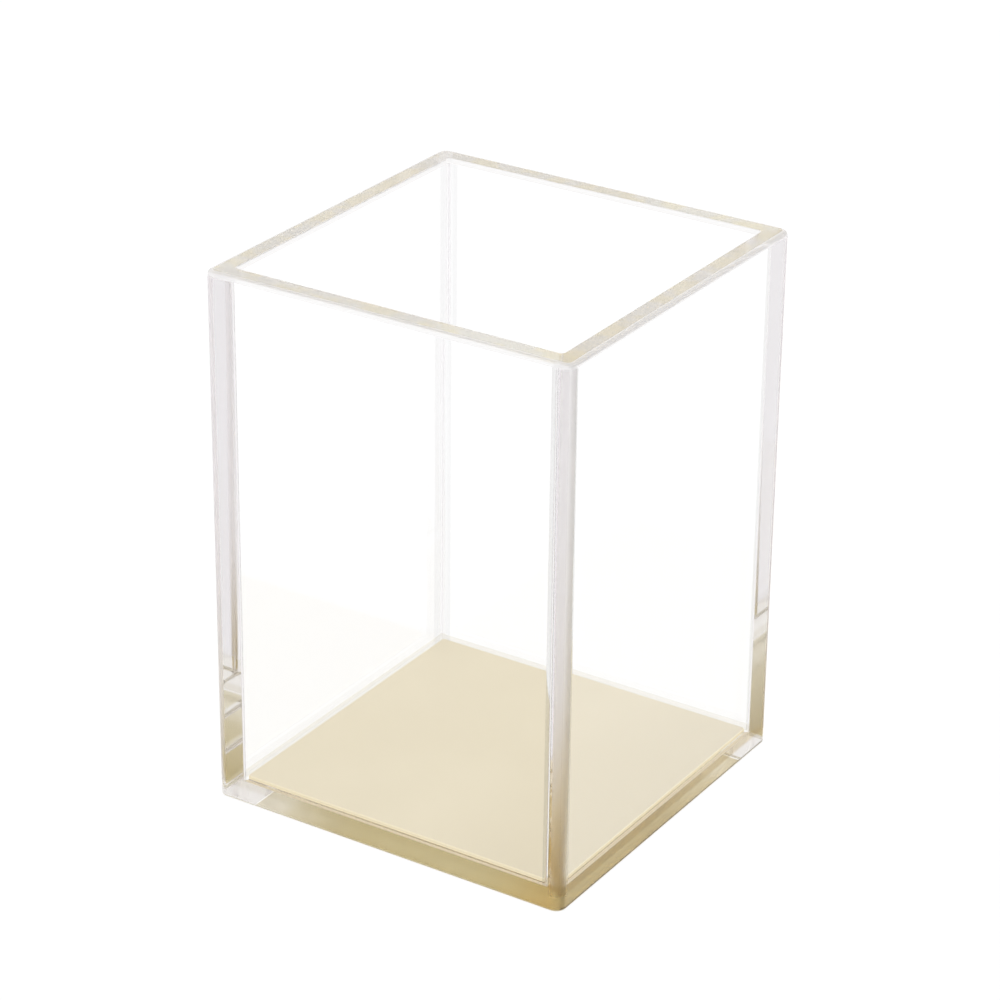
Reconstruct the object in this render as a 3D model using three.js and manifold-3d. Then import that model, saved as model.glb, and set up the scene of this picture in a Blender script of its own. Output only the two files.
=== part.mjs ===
// A square makeup brush pot in clear acrylic with a gold floor, in millimetres, +Z up.
// The origin is the middle of the underside, which stands on the table.
//
// Four wall panels of one size stand in a ring on the base panel. Their upright ends are cut at 45
// degrees and cemented to each other. The glued box is then polished as one body: its upright edges
// are rounded, and the rim and the foot lose their sharp arris. Inside, a gold sheet lies on the
// base panel, held flat by a clear adhesive film.

import * as THREE from 'three';
import { mergeVertices } from 'three/addons/utils/BufferGeometryUtils.js';
import Module from 'manifold-3d';

const wasm = await Module();
wasm.setup();

// Driving sizes of the pot
const potWidth = 72;
const potHeight = 100.5;
const wallSheet = 4;
const baseSheet = 3;

// Polished edges, shared by the five panels
const uprightEdgeRadius = 2;
const polishedArris = 0.4;
const arcSteps = 6;

// The gold sheet on the floor and the film that holds it
const goldSheet = 0.8;
const goldSideClearance = 0.7;
const goldCornerRadius = 0.5;
const adhesiveThickness = 0.1;
const adhesiveMargin = 0.05;

// How far a cutter runs past what it cuts
const cutOverrun = 1;

// Sizes that follow from the ones above
const potHalf = potWidth / 2;
const cavityHalf = potHalf - wallSheet;
const cavityWidth = cavityHalf + cavityHalf;
const wallHeight = potHeight - baseSheet;
const filmTop = baseSheet + adhesiveThickness;
const goldWidth = cavityWidth - goldSideClearance - goldSideClearance;
const adhesiveWidth = goldWidth - adhesiveMargin - adhesiveMargin;

// Finishes
const clearAcrylic = new THREE.MeshPhysicalMaterial({
  color: 0xf4f7f5, roughness: 0.03, metalness: 0, transparent: true, opacity: 0.3, ior: 1.49,
});
const goldFinish = new THREE.MeshStandardMaterial({ color: 0xe3d3a6, roughness: 0.4, metalness: 0.85 });
const clearAdhesive = new THREE.MeshStandardMaterial({
  color: 0xf1efe6, roughness: 0.3, metalness: 0, transparent: true, opacity: 0.4,
});

// A closed geometry as a solid that can be cut
function toSolid(geometry) {
  const bare = geometry.clone();
  bare.deleteAttribute('normal');
  bare.deleteAttribute('uv');
  const merged = mergeVertices(bare.index ? bare.toNonIndexed() : bare);
  return new wasm.Manifold(new wasm.Mesh({
    numProp: 3,
    vertProperties: new Float32Array(merged.attributes.position.array),
    triVerts: new Uint32Array(merged.index.array),
  }));
}

// A cut solid as a geometry again
function toGeometry(solid) {
  const mesh = solid.getMesh();
  const geometry = new THREE.BufferGeometry();
  geometry.setAttribute('position', new THREE.BufferAttribute(new Float32Array(mesh.vertProperties), 3));
  geometry.setIndex(new THREE.BufferAttribute(new Uint32Array(mesh.triVerts), 1));
  geometry.computeVertexNormals();
  return geometry;
}

// A square outline with round corners, centred on the origin
function roundedSquare(width, radius) {
  const half = width / 2;
  const inner = half - radius;
  const shape = new THREE.Shape();
  shape.moveTo(inner, -half);
  shape.absarc(inner, -inner, radius, -Math.PI / 2, 0, false);
  shape.absarc(inner, inner, radius, 0, Math.PI / 2, false);
  shape.absarc(-inner, inner, radius, Math.PI / 2, Math.PI, false);
  shape.absarc(-inner, -inner, radius, Math.PI, Math.PI * 3 / 2, false);
  shape.closePath();
  return shape;
}

// A flat sheet of that outline, lying on the height where it starts
function roundedSheet(width, radius, thickness, bottom) {
  const sheet = new THREE.ExtrudeGeometry(roundedSquare(width, radius), {
    depth: thickness, bevelEnabled: false, curveSegments: arcSteps,
  });
  return sheet.translate(0, 0, bottom);
}

// The outside of the whole pot once its edges are polished
function polishedOutside() {
  const block = new THREE.ExtrudeGeometry(roundedSquare(potWidth, uprightEdgeRadius), {
    depth: potHeight - polishedArris - polishedArris,
    bevelEnabled: true,
    bevelThickness: polishedArris,
    bevelSize: polishedArris,
    bevelOffset: -polishedArris,
    bevelSegments: 1,
    curveSegments: arcSteps,
  });
  return toSolid(block.translate(0, 0, polishedArris));
}

// The cutter that takes the arris off the inner edge of the rim, sloping at 45 degrees
function mouthCutter() {
  const reach = polishedArris + cutOverrun;
  const lowHalf = cavityHalf - cutOverrun;
  const highHalf = cavityHalf + reach;
  const height = highHalf - lowHalf;
  const cutter = new THREE.CylinderGeometry(highHalf * Math.SQRT2, lowHalf * Math.SQRT2, height, 4, 1);
  cutter.rotateX(Math.PI / 2);
  cutter.rotateZ(Math.PI / 4);
  return toSolid(cutter.translate(0, 0, potHeight + cutOverrun - height / 2));
}

// The sheet that becomes the front wall, with both ends mitred. Its outer face is as long as the pot
// is wide, and its inner face as long as the cavity.
function frontWallBlank() {
  const plan = new THREE.Shape();
  plan.moveTo(-potHalf, -potHalf);
  plan.lineTo(potHalf, -potHalf);
  plan.lineTo(cavityHalf, -cavityHalf);
  plan.lineTo(-cavityHalf, -cavityHalf);
  plan.closePath();
  const blank = new THREE.ExtrudeGeometry(plan, { depth: wallHeight, bevelEnabled: false });
  return toSolid(blank.translate(0, 0, baseSheet));
}

function baseBlank() {
  const blank = new THREE.BoxGeometry(potWidth, potWidth, baseSheet);
  return toSolid(blank.translate(0, 0, baseSheet / 2));
}

function addPiece(group, name, geometry, material) {
  const piece = new THREE.Mesh(geometry, material);
  piece.name = name;
  group.add(piece);
  return piece;
}

const pot = new THREE.Group();
const outside = polishedOutside();

const wallGeometry = toGeometry(frontWallBlank().intersect(outside).subtract(mouthCutter()));
['wall_front', 'wall_right', 'wall_back', 'wall_left'].forEach((name, quarter) => {
  const wall = addPiece(pot, name, wallGeometry, clearAcrylic);
  wall.rotation.z = quarter * Math.PI / 2;
});

addPiece(pot, 'base_panel', toGeometry(baseBlank().intersect(outside)), clearAcrylic);
addPiece(
  pot, 'adhesive_film',
  roundedSheet(adhesiveWidth, goldCornerRadius, adhesiveThickness, baseSheet), clearAdhesive,
);
addPiece(
  pot, 'gold_insert',
  roundedSheet(goldWidth, goldCornerRadius, goldSheet, filmTop), goldFinish,
);

export default pot;
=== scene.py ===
# %% [markdown]
# # A clear brush pot with a gold floor
#
# This lesson dresses a square makeup brush pot. The CAD model gives its sizes: four wall panels of
# 4 mm acrylic stand in a ring on a base panel, and a gold sheet lies on the floor inside. Blender
# adds what CAD leaves out: polished edges that catch the light, cemented joints that light passes
# through, and the two faces of the gold sheet.

import math

import bmesh
import bpy
from mathutils import Matrix, Vector


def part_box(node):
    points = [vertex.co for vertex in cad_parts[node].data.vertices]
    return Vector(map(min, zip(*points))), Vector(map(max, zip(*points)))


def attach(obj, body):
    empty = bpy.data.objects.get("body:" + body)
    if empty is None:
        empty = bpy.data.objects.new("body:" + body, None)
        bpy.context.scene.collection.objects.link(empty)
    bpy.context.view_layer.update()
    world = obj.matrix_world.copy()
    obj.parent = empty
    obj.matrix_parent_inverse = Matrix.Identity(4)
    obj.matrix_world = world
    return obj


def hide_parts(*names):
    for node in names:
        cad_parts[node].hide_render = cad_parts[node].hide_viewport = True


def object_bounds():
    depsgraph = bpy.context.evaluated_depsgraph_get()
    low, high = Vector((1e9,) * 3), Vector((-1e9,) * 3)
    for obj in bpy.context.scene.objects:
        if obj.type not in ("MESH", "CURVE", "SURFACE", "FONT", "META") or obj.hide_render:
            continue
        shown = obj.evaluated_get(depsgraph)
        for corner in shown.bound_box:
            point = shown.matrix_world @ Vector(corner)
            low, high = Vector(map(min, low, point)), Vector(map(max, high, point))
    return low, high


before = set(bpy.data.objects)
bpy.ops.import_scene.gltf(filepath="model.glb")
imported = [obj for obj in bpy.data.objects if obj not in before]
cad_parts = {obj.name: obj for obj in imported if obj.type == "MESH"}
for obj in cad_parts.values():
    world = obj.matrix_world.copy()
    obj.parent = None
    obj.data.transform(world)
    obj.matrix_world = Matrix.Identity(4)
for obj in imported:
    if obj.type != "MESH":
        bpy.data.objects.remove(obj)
cad_low, cad_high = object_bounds()

mm = 0.001
pot_half = cad_high.x
pot_height = cad_high.z
wall_low, wall_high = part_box("wall_front")
wall_sheet = wall_high.y - wall_low.y
base_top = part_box("base_panel")[1].z
film_low, film_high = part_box("adhesive_film")
gold_low, gold_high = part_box("gold_insert")
cavity_half = pot_half - wall_sheet

print("pot", round(2 * pot_half / mm, 2), "mm wide,", round(pot_height / mm, 2), "mm high")
print("walls", round(wall_sheet / mm, 2), "mm, floor at", round(gold_high.z / mm, 2), "mm")

# %% [markdown]
# ## Shader maths
#
# A finish is mostly arithmetic on textures: more haze here, less there. Building that from Math
# nodes by hand hides the sum, so a small class wraps a socket and lets the sum be written as one.
# A second class makes a material with one Principled shader and hands out its other nodes.

# %% A socket that can be added and multiplied
def feed(tree, slot, value):
    """Links a socket to a wire, or gives it a plain value. A colour gets its alpha here."""
    if isinstance(value, Wire):
        tree.links.new(value.socket, slot)
    elif slot.type == "RGBA":
        slot.default_value = (*value, 1)
    else:
        slot.default_value = value


class Wire:
    """A value in a node tree. Sums on it add Math nodes to the tree."""

    def __init__(self, tree, socket):
        self.tree = tree
        self.socket = socket

    def sum_with(self, operation, first, second):
        """The result of a Math node on two values."""
        node = self.tree.nodes.new("ShaderNodeMath")
        node.operation = operation
        for slot, value in zip(node.inputs, (first, second)):
            feed(self.tree, slot, value)
        return Wire(self.tree, node.outputs[0])

    def __add__(self, other):
        return self.sum_with("ADD", self, other)

    __radd__ = __add__

    def __mul__(self, other):
        return self.sum_with("MULTIPLY", self, other)

    __rmul__ = __mul__

    def __sub__(self, other):
        return self.sum_with("SUBTRACT", self, other)

    def __rsub__(self, other):
        return self.sum_with("SUBTRACT", other, self)

    def __abs__(self):
        return self.sum_with("ABSOLUTE", self, 0)


print("a socket can now be added, taken away, multiplied and made positive")

# %% A material with one Principled shader
# A Mix node has a set of sockets for each type of data. These are the numbers of its colour set.
MIX_SHARE, MIX_FIRST, MIX_SECOND, MIX_RESULT = 0, 6, 7, 2
soft_border_share = 0.1


class Finish:
    """A material, its Principled shader and a way to add nodes to it."""

    def __init__(self, name, **settings):
        self.material = bpy.data.materials.new(name)
        self.material.use_nodes = True
        self.tree = self.material.node_tree
        self.shader = self.tree.nodes["Principled BSDF"]
        for socket, value in settings.items():
            self.set(socket.replace("_", " "), value)

    def set(self, socket, value):
        """Sets or links one socket of the Principled shader."""
        feed(self.tree, self.shader.inputs[socket], value)

    def node(self, kind, settings=None, values=None, output=0):
        """One more node: its type, its settings, what its sockets get and the output to read."""
        node = self.tree.nodes.new(kind)
        for key, value in (settings or {}).items():
            setattr(node, key, value)
        for key, value in (values or {}).items():
            feed(self.tree, node.inputs[key], value)
        return Wire(self.tree, node.outputs[output])

    def place(self, stretch=(1, 1, 1)):
        """Where on the pot a point is, in metres, stretched along an axis if asked."""
        here = self.node("ShaderNodeTexCoord", output="Object")
        return self.node("ShaderNodeMapping", values={"Vector": here, "Scale": stretch})

    def along(self, axis):
        """How far along one axis of the pot a point is, in metres."""
        return self.node("ShaderNodeSeparateXYZ", values={"Vector": self.place()}, output=axis)

    def noise(self, per_metre, detail=2, stretch=(1, 1, 1), roughness=0.5):
        """Cloudy noise with about so many clouds to the metre."""
        return self.node("ShaderNodeTexNoise", values={
            "Vector": self.place(stretch), "Scale": per_metre, "Detail": detail, "Roughness": roughness,
        })

    def spread(self, value, low, high, to_low=0.0, to_high=1.0):
        """The value's range from low to high, eased onto another range and clamped there."""
        return self.node("ShaderNodeMapRange", {"interpolation_type": "SMOOTHSTEP"}, {
            "Value": value, "From Min": low, "From Max": high, "To Min": to_low, "To Max": to_high,
        })

    def near(self, axis, place, reach):
        """1 within a reach of a place along an axis, 0 away from it."""
        away = abs(self.along(axis) - place)
        within = reach * (1 - soft_border_share)
        outside = reach * (1 + soft_border_share)
        return self.spread(away, within, outside, to_low=1, to_high=0)

    def at_back_corner(self, reach_x, reach_y):
        """1 round the inner corner that the camera looks straight into, 0 elsewhere."""
        return self.near("X", -cavity_half, reach_x) * self.near("Y", cavity_half, reach_y)

    def mix(self, share, first, second):
        """A colour between two, by share."""
        sockets = {MIX_SHARE: share, MIX_FIRST: first, MIX_SECOND: second}
        return self.node("ShaderNodeMix", {"data_type": "RGBA"}, sockets, output=MIX_RESULT)

    def bump(self, height, distance, strength):
        """Makes the surface look raised where the height is large."""
        self.set("Normal", self.node("ShaderNodeBump", values={
            "Height": height, "Distance": distance, "Strength": strength,
        }))


def report(*finishes):
    """Prints how many nodes each finish took."""
    for finish in finishes:
        print("finish", finish.material.name, "has", len(finish.tree.nodes), "nodes")


print("a finish offers", ", ".join(name for name in vars(Finish) if not name.startswith("_")))

# %% [markdown]
# ## Clear sheet
#
# The large faces of acrylic sheet are cast against glass, so they are flat. Ripples in them would be
# easy to add with a bump, and wrong, so they only get a breath of haze in patches. Acrylic bends
# light a little less than window glass does, hence its own number.
#
# The camera looks straight into the inner corner at the back. There a real pot shows one pale grey
# strip, because the light behind it has crossed edge after edge. A faint grey of painted shade on the
# sheet, a few millimetres wide and streaked along the corner, stands in for that lost light.

# %% The sheet's faces
acrylic_ior = 1.49
untinted = (1, 1, 1)
strip_grey = (0.84, 0.84, 0.845)
most_haze = 0.02
even_share = 0.75

sheet_face = Finish("clear_acrylic_sheet", IOR=acrylic_ior, Transmission_Weight=1)
haze = sheet_face.spread(sheet_face.noise(per_metre=60, detail=4), low=0.55, high=0.8)
sheet_face.set("Roughness", haze * most_haze)
streaks = sheet_face.noise(per_metre=300, stretch=(1, 1, 0.15))
# Painted shade: a streaked grey strip in the back inner corner, where light has crossed many edges.
painted_corner_shade = sheet_face.at_back_corner(reach_x=1.8 * mm, reach_y=2.8 * mm)
painted_corner_shade = painted_corner_shade * (even_share + (1 - even_share) * streaks)
sheet_face.set("Base Color", sheet_face.mix(painted_corner_shade, untinted, strip_grey))
report(sheet_face)

# %% [markdown]
# ## Polished rim and rounded edges
#
# The edges were sawn and then polished with a flame or a buff, which leaves shallow waves. Those
# waves are what makes the light in the edges of a real pot look broken and alive, so the rim gets a
# bump and painted patches of the gold floor's light over its grey. The rounded upright edges are
# clear too, but so uneven that they blur what lies behind them, more so the higher they are above
# the floor.
# One polished glass finish for all of them would be quicker, and would draw hard dark lines instead.

# %% The rim, its arris and the upright edges
rim_grey = (0.84, 0.83, 0.80)
rim_painted_gold_light = (0.90, 0.84, 0.66)
polished_edge = Finish("polished_acrylic_edge", IOR=acrylic_ior, Transmission_Weight=0.8)
# Painted light: noise patches of the gold floor's light mixed into the rim's grey.
painted_floor_light = polished_edge.spread(polished_edge.noise(per_metre=170, detail=3), low=0.42, high=0.6)
polished_edge.set("Base Color", polished_edge.mix(painted_floor_light, rim_grey, rim_painted_gold_light))
least_blur, added_blur = 0.2, 0.08
polished_edge.set("Roughness", least_blur + polished_edge.noise(per_metre=400) * added_blur)
polished_edge.bump(polished_edge.noise(per_metre=120, detail=1), distance=0.01 * mm, strength=0.3)

soft_arris = Finish(
    "soft_arris", Base_Color=(0.93, 0.92, 0.92), IOR=acrylic_ior, Transmission_Weight=0.4,
    Roughness=0.2,
)

round_edge = Finish(
    "rounded_upright_edge", Base_Color=(1, 0.99, 1), IOR=acrylic_ior, Transmission_Weight=1,
)
round_edge.set("Roughness", round_edge.spread(
    round_edge.along("Z"), low=5 * mm, high=35 * mm, to_low=0.29, to_high=0.6,
))
report(polished_edge, soft_arris, round_edge)

# %% [markdown]
# ## Edges of the base panel
#
# The edge of the base is a clear window onto the gold above it. Round it are three features, each
# too small to be worth a piece of its own: a ground arris along the table, whose darker olive tint is
# painted shade, a thin dark line of painted shadow just above that arris on the right, where the edge
# lies away from the light, and the brown line of adhesive that was squeezed out between the gold
# sheet and the two walls in front. Finishes make all three.

# %% The base's cut edge, its arris and the squeezed-out adhesive
cut_edge = Finish("base_cut_edge", IOR=acrylic_ior, Transmission_Weight=1)
least_blur, added_blur = 0.03, 0.05
cut_edge.set("Roughness", least_blur + cut_edge.noise(per_metre=250) * added_blur)
# Painted shadow: a thin dark line low on the right edge of the base, which lies away from the light.
painted_shadow_line = cut_edge.near("Z", place=0.47 * mm, reach=0.16 * mm)
painted_shadow_line = painted_shadow_line * cut_edge.near("X", place=pot_half, reach=0.5 * mm)
painted_shadow_dark = (0.08, 0.07, 0.04)
cut_edge.set("Base Color", cut_edge.mix(painted_shadow_line, untinted, painted_shadow_dark))

# Ground acrylic is matte; the darker olive tint of this arris is painted shade along the foot.
ground_arris = Finish(
    "base_ground_arris", Base_Color=(0.66, 0.63, 0.52), IOR=acrylic_ior, Transmission_Weight=0.6,
    Roughness=0.3,
)
squeezed_out = Finish(
    "adhesive_margin", Base_Color=(0.42, 0.30, 0.15), IOR=acrylic_ior, Transmission_Weight=1,
    Roughness=0.1,
)
report(cut_edge, ground_arris, squeezed_out)

# %% [markdown]
# ## Cemented joints
#
# Acrylic panels are joined with a thin solvent that melts both faces into one. Light then crosses
# the joint without bending, and loses only a little on the way. A pair of glass faces would bend it
# twice and draw a dark frame, so both faces of each joint are made of a film that only passes light.
# The joint under the right wall passes the least light, a painted shade for the foot that lies away
# from the light, and the bond under the gold sheet keeps none.
#
# In the inner corners the cement stands out as a small clear bead. At the back corner, which is seen
# against the light, it is painted paler as painted light.

# %% The joint films and the bead
def clear_film(name, passes):
    """A material that lets light through unbent and keeps a share of it."""
    material = bpy.data.materials.new(name)
    material.use_nodes = True
    nodes = material.node_tree.nodes
    nodes.remove(nodes["Principled BSDF"])
    film = nodes.new("ShaderNodeBsdfTransparent")
    feed(material.node_tree, film.inputs["Color"], passes)
    material.node_tree.links.new(film.outputs[0], nodes["Material Output"].inputs["Surface"])
    return material


corner_cement = clear_film("corner_cement", (0.945, 0.938, 0.942))
foot_cement = clear_film("foot_cement", (0.95, 0.94, 0.915))
# Painted shade: the foot joint under the right wall, away from the light, passes less and warmer light.
shaded_right_foot_cement = clear_film("shaded_right_foot_cement", (0.85, 0.77, 0.59))
floor_bond = clear_film("floor_bond", untinted)

bead_grey = (0.68, 0.675, 0.67)
bead_painted_backlight = (0.92, 0.92, 0.925)
bead_face = Finish("cement_bead", IOR=acrylic_ior, Transmission_Weight=1, Roughness=0.03)
# Painted light: the bead is paler round the back corner, which is seen against the light.
at_back = bead_face.at_back_corner(reach_x=5 * mm, reach_y=5 * mm)
bead_face.set("Base Color", bead_face.mix(at_back, bead_grey, bead_painted_backlight))
report(bead_face)

# %% [markdown]
# ## Gold sheet
#
# The gold sheet has two faces. The upper one is a pale satin that hardly changes as it is seen from
# other sides, and it is painted in a little more shade towards the right. The underside is the metal
# layer itself, a deeper gold with a fine cloudy grain, and painted shade makes it darker and warmer at
# the right. It shows in the clear edge of the base, where light runs along inside the panel. One gold
# for both would be simpler, but the floor would then mirror the walls like foil.

# %% The two faces and the cut edge of the gold sheet
satin_dull = (0.765, 0.68, 0.49)
satin_pale = (0.785, 0.70, 0.51)
satin_shaded = (0.72, 0.635, 0.45)
gold_upper = Finish("gold_satin_upper", Metallic=0.35, Roughness=0.5)
cloud = gold_upper.spread(gold_upper.noise(per_metre=35, detail=3), low=0.3, high=0.7)
clouded = gold_upper.mix(cloud, satin_dull, satin_pale)
# Painted shade: the satin upper face grows darker towards the right.
shade = gold_upper.spread(gold_upper.along("X"), low=0, high=cavity_half)
gold_upper.set("Base Color", gold_upper.mix(shade, clouded, satin_shaded))
gold_upper.bump(gold_upper.noise(per_metre=2500), distance=0.01 * mm, strength=0.3)

metal_dull = (0.885, 0.855, 0.73)
metal_pale = (0.91, 0.885, 0.78)
metal_shaded_warm = (0.87, 0.77, 0.50)
gold_back = Finish("gold_metal_underside", Metallic=1.0, Roughness=0.2)
grain = gold_back.noise(per_metre=180, detail=5, roughness=0.65)
cloud = gold_back.spread(grain, low=0.35, high=0.65)
clouded = gold_back.mix(cloud, metal_dull, metal_pale)
# Painted shade: the underside grows darker and warmer towards the right, away from the light.
painted_shade_to_right = gold_back.spread(gold_back.along("X"), low=10 * mm, high=30 * mm)
gold_back.set("Base Color", gold_back.mix(painted_shade_to_right, clouded, metal_shaded_warm))
gold_back.bump(gold_back.noise(per_metre=900, detail=3), distance=0.02 * mm, strength=0.2)

gold_edge = Finish("gold_cut_edge", Base_Color=(0.90, 0.80, 0.56), Metallic=0.2, Roughness=0.4)
report(gold_upper, gold_back, gold_edge)

# %% [markdown]
# ## Outlines and lofts
#
# Every piece here is a stack of outlines joined by faces. A box with bevels would give nearly the
# same shape, but not the say over each face that the finishes need: here each side of an outline
# carries a number, the finish that the faces above it get. Drawing an outline a little smaller at
# the very top or bottom makes the polished arris. Where two neighbouring outlines share points, the
# doubles are merged, so no sliver of a face is left.

# %% Arcs, outlines and lofts
corner_radius = 2.0 * mm
arris = 0.4 * mm
rim_arris = 0.9 * mm
inner_arris_share = 0.35
arris_steps = 5
corner_steps = 24
hairline = 0.005 * mm
merge_distance = 0.0005 * mm
flat_share = 0.999


def arc(centre, radius, start, end, steps):
    """Points on an arc, from a start to an end angle in degrees, both ends included."""
    points = []
    for step in range(steps + 1):
        angle = math.radians(start + (end - start) * step / steps)
        points.append((centre[0] + radius * math.cos(angle), centre[1] + radius * math.sin(angle)))
    return points


def square_outline(half, radius):
    """A square with round corners, anticlockwise from above."""
    points = []
    for side_x, side_y, start in ((1, 1, 0), (-1, 1, 90), (-1, -1, 180), (1, -1, 270)):
        centre = (side_x * (half - radius), side_y * (half - radius))
        points += arc(centre, radius, start, start + 90, corner_steps)
    return points


def loft(levels, finishes=None):
    """A closed mesh through outlines of equal length, each a list of points and a height.

    finishes has one number for each side of the outline, kept in the face layer "finish".
    """
    shape = bmesh.new()
    layer = shape.faces.layers.int.new("finish")
    rings = []
    for outline, height in levels:
        rings.append([shape.verts.new((x, y, height)) for x, y in outline])
    for lower, upper in zip(rings, rings[1:]):
        for index in range(len(lower)):
            after = (index + 1) % len(lower)
            face = shape.faces.new((lower[index], lower[after], upper[after], upper[index]))
            face[layer] = finishes[index] if finishes else 0
    shape.faces.new(list(reversed(rings[0])))
    shape.faces.new(rings[-1])
    bmesh.ops.remove_doubles(shape, verts=shape.verts, dist=merge_distance)
    bmesh.ops.dissolve_degenerate(shape, dist=merge_distance, edges=shape.edges)
    bmesh.ops.recalc_face_normals(shape, faces=shape.faces)
    return shape


def arris_path(radius):
    """How far the outline has drawn in, and how far below the edge, along a rounded arris."""
    path = []
    for step in range(arris_steps + 1):
        angle = math.pi / 2 * step / arris_steps
        path.append((radius * (1 - math.cos(angle)), radius * (1 - math.sin(angle))))
    return path


def looks_up(face):
    return face.normal.z > flat_share


def looks_down(face):
    return face.normal.z < -flat_share


print("a square outline has", len(square_outline(pot_half, corner_radius)), "points")

# %% [markdown]
# ## The wall panels
#
# The four walls are one panel, turned by a quarter each time. Its ends are cut at 45 degrees, so
# each corner of the pot has one joint, from the inner corner to the middle of the rounded outer edge.
# Plain butt joints are easier to cut, but they show as a line beside each corner. When a mitred
# joint is cemented, a small bead stays in the inner corner. It is part of the outline.

# %% The front wall as a blank
SHEET, RIM, CORNER_JOINT, FOOT_JOINT, BEAD, ROUND_EDGE, ARRIS = range(7)
corner_bead = 0.9 * mm
bead_steps = 12


def wall_outline(inset):
    """The front wall from above, anticlockwise, drawn in by an inset at the polished rim.

    Its mitred ends stay a hairline short of the next wall, so that no two faces coincide.
    """
    outer = pot_half - corner_radius
    inner = cavity_half + inset * inner_arris_share
    bead_centre = inner - corner_bead
    right_edge = arc((outer, -outer), corner_radius - inset, -90, -45, corner_steps)
    right_bead = arc((bead_centre, -bead_centre), corner_bead, -45, -90, bead_steps)
    right_edge[-1] = (right_edge[-1][0] - hairline, right_edge[-1][1])
    right_bead[0] = (right_bead[0][0] - hairline, right_bead[0][1])
    right_half = right_edge + right_bead
    left_half = [(-x, y) for x, y in reversed(right_half)]
    return right_half + left_half


def wall_sides():
    """The finish of each side of that outline."""
    right_sides = [ROUND_EDGE] * corner_steps + [CORNER_JOINT] + [BEAD] * bead_steps
    return right_sides + [SHEET] + right_sides[::-1] + [SHEET]


levels = [(wall_outline(0), base_top + hairline)]
levels += [(wall_outline(inset), pot_height - down) for inset, down in arris_path(rim_arris)]
blank = loft(levels, wall_sides())
finish_layer = blank.faces.layers.int["finish"]
for face in blank.faces:
    in_rim_arris = face.calc_center_median().z > pot_height - rim_arris
    if looks_up(face):
        face[finish_layer] = RIM
    elif in_rim_arris and face[finish_layer] != CORNER_JOINT:
        face[finish_layer] = ARRIS
    elif looks_down(face):
        face[finish_layer] = FOOT_JOINT
blank_mesh = bpy.data.meshes.new("wall_blank")
blank.to_mesh(blank_mesh)
blank.free()
print("wall blank:", len(blank_mesh.polygons), "faces")

# %% [markdown]
# ## The ring of walls
#
# The walls repeat round the middle of the pot. Four copies could be turned by hand, but then each
# would also need its finishes laid on face by face. A Geometry Nodes tree does both: it turns the
# blank by a number of quarters and paints each face by the number that the outline gave it.

# %% A node tree that turns the blank into one wall of the ring
# A Compare node keeps its whole numbers in these two sockets.
COMPARE_FIRST, COMPARE_SECOND = 2, 3
quarter_turn = math.pi / 2


def ring_sockets(tree):
    """The tree's inputs and output, the blank and how often it is turned."""
    tree.interface.new_socket("Geometry", in_out="INPUT", socket_type="NodeSocketGeometry")
    tree.interface.new_socket("Quarter Turns", in_out="INPUT", socket_type="NodeSocketFloat")
    tree.interface.new_socket("Geometry", in_out="OUTPUT", socket_type="NodeSocketGeometry")
    return tree.nodes.new("NodeGroupInput"), tree.nodes.new("NodeGroupOutput")


def turned_blank(tree, source):
    """Nodes that turn the blank about the pot's middle. Gives the socket that carries it."""
    as_instance = tree.nodes.new("GeometryNodeGeometryToInstance")
    turn = tree.nodes.new("GeometryNodeRotateInstances")
    angle = tree.nodes.new("ShaderNodeMath")
    angle.operation = "MULTIPLY"
    angle.inputs[1].default_value = quarter_turn
    around_z = tree.nodes.new("ShaderNodeCombineXYZ")
    realize = tree.nodes.new("GeometryNodeRealizeInstances")
    tree.links.new(source.outputs["Geometry"], as_instance.inputs[0])
    tree.links.new(source.outputs["Quarter Turns"], angle.inputs[0])
    tree.links.new(angle.outputs[0], around_z.inputs["Z"])
    tree.links.new(as_instance.outputs[0], turn.inputs["Instances"])
    tree.links.new(around_z.outputs[0], turn.inputs["Rotation"])
    tree.links.new(turn.outputs[0], realize.inputs[0])
    return realize.outputs[0]


def painted(tree, wall, finishes):
    """Nodes that give each face the finish of its number. Gives the socket that carries them."""
    mark = tree.nodes.new("GeometryNodeInputNamedAttribute")
    mark.data_type = "INT"
    mark.inputs["Name"].default_value = "finish"
    for number, material in enumerate(finishes):
        same = tree.nodes.new("FunctionNodeCompare")
        same.data_type = "INT"
        same.operation = "EQUAL"
        same.inputs[COMPARE_SECOND].default_value = number
        paint = tree.nodes.new("GeometryNodeSetMaterial")
        paint.inputs["Material"].default_value = material
        tree.links.new(mark.outputs[0], same.inputs[COMPARE_FIRST])
        tree.links.new(same.outputs[0], paint.inputs["Selection"])
        tree.links.new(wall, paint.inputs["Geometry"])
        wall = paint.outputs[0]
    return wall


def socket_of(tree, name):
    """The identifier by which a modifier sets an input of a tree."""
    for item in tree.interface.items_tree:
        if item.name == name and item.in_out == "INPUT":
            return item.identifier
    raise KeyError(name)


# In the order of the numbers SHEET, RIM, CORNER_JOINT and so on
wall_finishes = (
    sheet_face.material, polished_edge.material, corner_cement, foot_cement,
    bead_face.material, round_edge.material, soft_arris.material,
)
wall_tree = bpy.data.node_groups.new("wall_of_the_ring", "GeometryNodeTree")
source, result = ring_sockets(wall_tree)
wall = painted(wall_tree, turned_blank(wall_tree, source), wall_finishes)
wall_tree.links.new(wall, result.inputs[0])
print("the wall's tree has", len(wall_tree.nodes), "nodes")

# %% [markdown]
# ## From blank to pieces
#
# The tree's result is turned into a plain mesh, one for each wall, so that nothing depends on the
# modifier any more. Flat faces then keep their flat shading next to rounded ones by a weighted
# normal: without it, the large clear faces would bulge like lenses along every arris.

# %% The four walls
sharp_from = math.radians(28)
weight_by_area_alone = 100


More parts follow.
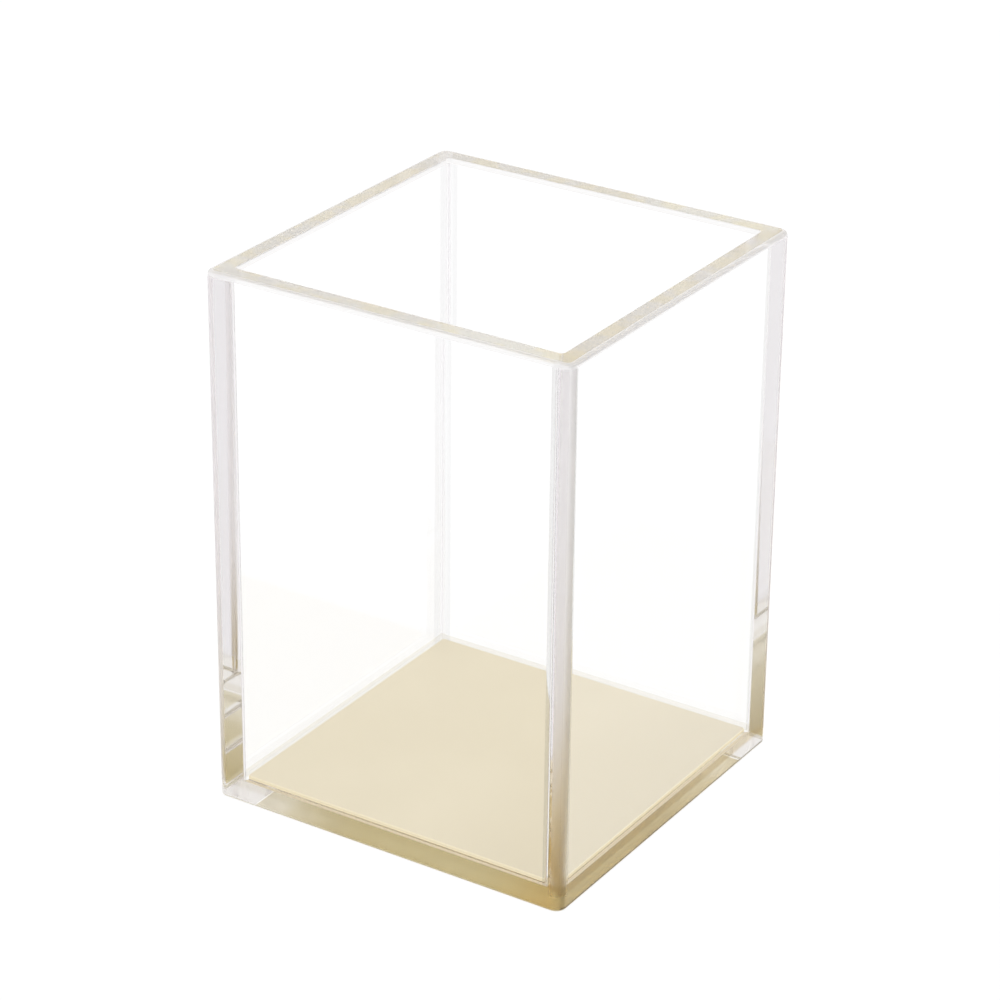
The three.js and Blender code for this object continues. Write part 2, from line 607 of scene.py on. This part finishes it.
def settled(holder, name):
    """The evaluated object as a plain mesh of its own, at the origin."""
    bpy.context.view_layer.update()
    graph = bpy.context.evaluated_depsgraph_get()
    mesh = bpy.data.meshes.new_from_object(holder.evaluated_get(graph))
    mesh.name = name
    piece = bpy.data.objects.new(name, mesh)
    bpy.context.scene.collection.objects.link(piece)
    bpy.data.objects.remove(holder)
    return piece


def settle_piece(piece, node):
    """The piece stands for its CAD node and moves with the pot."""
    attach(piece, "root")
    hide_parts(node)
    piece.data.shade_smooth()
    piece.data.set_sharp_from_angle(angle=sharp_from)
    weighted = piece.modifiers.new("flat_faces_stay_flat", "WEIGHTED_NORMAL")
    weighted.weight = weight_by_area_alone
    weighted.keep_sharp = True
    print(piece.name, len(piece.data.polygons), "faces,", len(piece.data.materials), "finishes")


for quarter, side in enumerate(("front", "right", "back", "left")):
    holder = bpy.data.objects.new("holder", blank_mesh)
    bpy.context.scene.collection.objects.link(holder)
    ring = holder.modifiers.new("ring", "NODES")
    ring.node_group = wall_tree
    ring[socket_of(wall_tree, "Quarter Turns")] = float(quarter)
    wall_panel = settled(holder, side + "_wall_panel")
    settle_piece(wall_panel, "wall_" + side)

# %% [markdown]
# ## The base panel
#
# The base is one square panel under the whole pot, with a ground arris along its lower edge. Its top
# is divided by what lies on it: the walls are cemented round the outside, the gold sheet's adhesive
# covers the middle, and a narrow margin is left between them. It could be a plain box with a
# texture for its top, but a border between two finishes is cleaner as an edge in the mesh, so the
# outlines run on inwards over the top.

# %% The base panel
PLAIN, CUT_EDGE, FOOT, UNDER_GOLD, MARGIN, GROUND, SHADED_RIGHT_FOOT = range(7)
film_half = film_high.x


def base_finish(face):
    """Which finish a face of the base gets, by the way it looks and by where it lies."""
    middle = face.calc_center_median()
    reach = max(abs(middle.x), abs(middle.y))
    at_right = middle.x > reach - hairline
    at_front = middle.y < hairline - reach
    if looks_down(face):
        return PLAIN
    if not looks_up(face):
        return GROUND if middle.z < arris - hairline else CUT_EDGE
    if reach > cavity_half:
        return SHADED_RIGHT_FOOT if at_right else FOOT
    if reach < film_half / 2:
        return UNDER_GOLD
    return MARGIN if at_right or at_front else PLAIN


def new_piece(shape, name, *materials):
    """A shape as an object with its finishes, in the order of their numbers."""
    mesh = bpy.data.meshes.new(name)
    shape.to_mesh(mesh)
    shape.free()
    for material in materials:
        mesh.materials.append(material)
    piece = bpy.data.objects.new(name, mesh)
    bpy.context.scene.collection.objects.link(piece)
    return piece


base_levels = []
for inset, up in reversed(arris_path(arris)):
    base_levels.append((square_outline(pot_half - inset, corner_radius - inset), up))
base_levels.append((square_outline(pot_half, corner_radius), base_top))
base_levels.append((square_outline(cavity_half, 0), base_top))
base_levels.append((square_outline(film_half, 0), base_top))
base = loft(base_levels)
for face in base.faces:
    face.material_index = base_finish(face)
base_panel = new_piece(
    base, "base_panel_sheet", sheet_face.material, cut_edge.material, foot_cement, floor_bond,
    squeezed_out.material, ground_arris.material, shaded_right_foot_cement,
)
settle_piece(base_panel, "base_panel")

# %% [markdown]
# ## The gold sheet and its adhesive
#
# The sheet is a little smaller than the cavity, so that it can be dropped in. A film of clear
# adhesive joins it to the base panel. Because the film leaves no air between them, the gold
# underside is seen straight through the clear base. The film could be left out of the picture, but
# it is a piece of its own, so it is here too, in a material that bends no light.

# %% The adhesive film
film_clearance = 0.02 * mm
film_material = clear_film("clear_adhesive", (0.99, 0.985, 0.97))
film_shape = loft([
    (square_outline(film_half, 0), film_low.z + hairline),
    (square_outline(film_half, 0), film_high.z - film_clearance),
])
film = new_piece(film_shape, "adhesive_sheet", film_material)
settle_piece(film, "adhesive_film")

# %% The gold sheet
UPPER, UNDERSIDE, EDGE = range(3)
gold_corner = 0.5 * mm
gold_round = 0.12 * mm
gold_levels = [
    (square_outline(gold_high.x - gold_round, gold_corner), gold_low.z),
    (square_outline(gold_high.x, gold_corner), gold_low.z + gold_round),
    (square_outline(gold_high.x, gold_corner), gold_high.z - gold_round),
    (square_outline(gold_high.x - gold_round, gold_corner), gold_high.z),
]
gold_shape = loft(gold_levels)
for face in gold_shape.faces:
    if looks_up(face):
        face.material_index = UPPER
    elif looks_down(face):
        face.material_index = UNDERSIDE
    else:
        face.material_index = EDGE
gold_sheet = new_piece(
    gold_shape, "gold_floor_sheet", gold_upper.material, gold_back.material, gold_edge.material,
)
settle_piece(gold_sheet, "gold_insert")

# %% [markdown]
# ## Camera
#
# The viewpoint was worked out from the pot's own corners in the photograph: a long lens about 600 mm
# away, 33 degrees round to the right of the front, looking down by 26 degrees. A guess by eye would
# do for a picture of its own, but not for one that can be laid over the photograph.

# %% The camera
azimuth, elevation, roll = map(math.radians, (32.59, 25.66, 0.64))
distance = 605.7 * mm
aside, upward = -0.144 * mm, -2.916 * mm
focal_share = 3.459
sensor_width = 36
clip_near, clip_far = 0.01, 20

back = Vector((
    math.sin(azimuth) * math.cos(elevation),
    -math.cos(azimuth) * math.cos(elevation),
    math.sin(elevation),
))
level_right = (-back).cross(Vector((0, 0, 1))).normalized()
level_up = level_right.cross(-back)
right = level_right * math.cos(roll) + level_up * math.sin(roll)
up = level_up * math.cos(roll) - level_right * math.sin(roll)
eye = Vector((0, 0, pot_height / 2)) + back * distance - right * aside - up * upward

camera_data = bpy.data.cameras.new("camera")
camera_data.sensor_width = sensor_width
camera_data.lens = sensor_width * focal_share
camera_data.clip_start = clip_near
camera_data.clip_end = clip_far
camera = bpy.data.objects.new("camera", camera_data)
camera.matrix_world = Matrix.Translation(eye) @ Matrix((right, up, back)).transposed().to_4x4()
bpy.context.scene.collection.objects.link(camera)
bpy.context.scene.camera = camera
print("camera at", [round(part, 3) for part in eye])

# %% [markdown]
# ## Floor and light
#
# The pot was photographed on white. The world is a white room that lights it evenly from all round.
# The floor is part paint, which takes the pot's shadow, and part glow, which lifts it to white.
# Lamps would give a livelier light, but each of them would show again in every clear face.

# %% The floor
white = 1.03
paint_share = 0.08
floor_gap = 0.05 * mm
floor_half = 3.0
floor_mesh = bpy.data.meshes.new("floor")
floor_corners = ((-1, -1), (1, -1), (1, 1), (-1, 1))
floor_mesh.from_pydata(
    [(x * floor_half, y * floor_half, -floor_gap) for x, y in floor_corners], [], [(0, 1, 2, 3)],
)
floor = bpy.data.objects.new("floor", floor_mesh)
bpy.context.scene.collection.objects.link(floor)

floor_finish = Finish(
    "floor_paint", Base_Color=(paint_share, paint_share, paint_share), Roughness=1,
    Emission_Color=(1, 1, 1), Emission_Strength=white - paint_share, Specular_IOR_Level=0,
)
floor_mesh.materials.append(floor_finish.material)
report(floor_finish)

# %% The world
world = bpy.data.worlds.new("white_room")
world.use_nodes = True
background = world.node_tree.nodes["Background"]
feed(world.node_tree, background.inputs["Color"], (1, 1, 1))
feed(world.node_tree, background.inputs["Strength"], white)
bpy.context.scene.world = world
print("the room's white has a strength of", white)

# %% [markdown]
# ## Rendering settings
#
# A ray on its way through this pot meets a dozen faces and more. With the usual limits it would be
# cut off inside, and the deep corners would turn black, so the limits go up. Glossy bounces aren't
# blurred, because their sharp pattern is what makes the edges sparkle.

# %% Bounces enough for clear acrylic
bounces = 64
scene = bpy.context.scene
scene.view_settings.view_transform = "Standard"
scene.cycles.blur_glossy = 0
scene.cycles.max_bounces = bounces
scene.cycles.glossy_bounces = bounces
scene.cycles.transmission_bounces = bounces
scene.cycles.transparent_max_bounces = bounces
print("light may bounce", bounces, "times")
